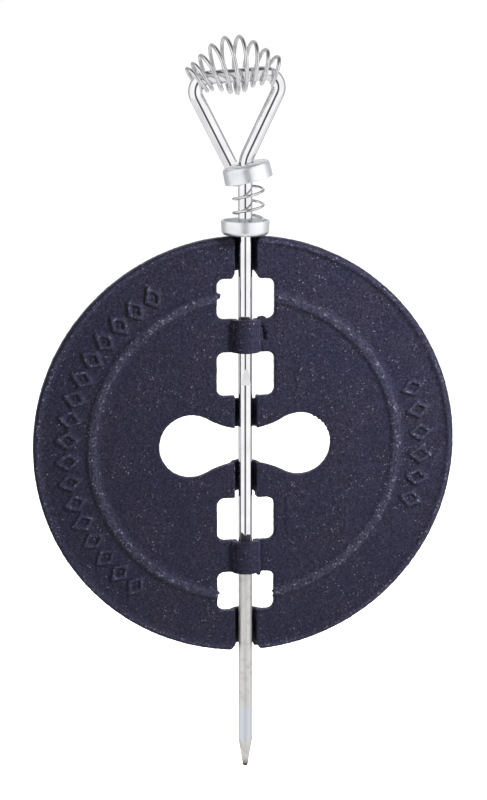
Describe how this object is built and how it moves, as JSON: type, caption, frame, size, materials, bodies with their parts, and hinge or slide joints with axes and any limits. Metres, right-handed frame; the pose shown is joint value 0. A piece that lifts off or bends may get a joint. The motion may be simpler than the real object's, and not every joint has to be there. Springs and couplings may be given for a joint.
{
  "type": "stovepipe damper",
  "caption": "Round cast plate with window openings, turned in a flue pipe by a pointed rod whose bent handle carries a coil grip; a spring between two cup washers holds it.",
  "frame": {"origin": "centre of the damper plate, at mid-thickness, on the axis of the rod", "axes": "+Z along the rod towards the grip, +X to the right and -Y out of the front of the plate, so the pipe runs along Y when the damper is shut"},
  "size_m": [0.1714, 0.0235, 0.3011],
  "materials": {
    "cast_iron": "sand-cast, dark blue-black, matt",
    "bright_rod": "bright nickel plating on drawn steel",
    "plated_wire": "bright nickel plating on spring wire",
    "zinc_cup": "zinc plating, satin"
  },
  "bodies": {
    "lower_cup": {"lower_cup": "zinc_cup"},
    "plate": {"damper_plate": "cast_iron"},
    "spring": {"compression_spring": "plated_wire"},
    "rod": {"handle_rod": "bright_rod"},
    "upper_cup": {"upper_cup": "zinc_cup"},
    "grip": {"grip_coil": "plated_wire"}
  },
  "joints": [
    {"name": "damper_turn", "type": "hinge", "parent": "lower_cup", "child": "plate", "pos_m": [0, 0, 0], "axis": [0, 0, 1], "continuous": true},
    {"name": "rod_turn", "type": "hinge", "parent": "plate", "child": "spring", "pos_m": [0, 0, 0], "axis": [0, 0, 1], "range_deg": [0, 180]},
    {"name": "rod_push", "type": "slide", "parent": "spring", "child": "rod", "axis": [0, 0, -1], "range_m": [0, 0.0115], "stiffness_N_per_m": 2800, "springref_m": -0.002, "deforming": ["compression_spring"]},
    {"name": "upper_cup_turn", "type": "hinge", "parent": "rod", "child": "upper_cup", "pos_m": [0, 0, 0.11398], "axis": [-0.225, 0, 0.9744], "continuous": true},
    {"name": "grip_turn", "type": "hinge", "parent": "rod", "child": "grip", "pos_m": [-0.00305, 0, 0.14777], "axis": [0.9978, 0, 0.0663], "range_deg": [-8, 18]}
  ]
}
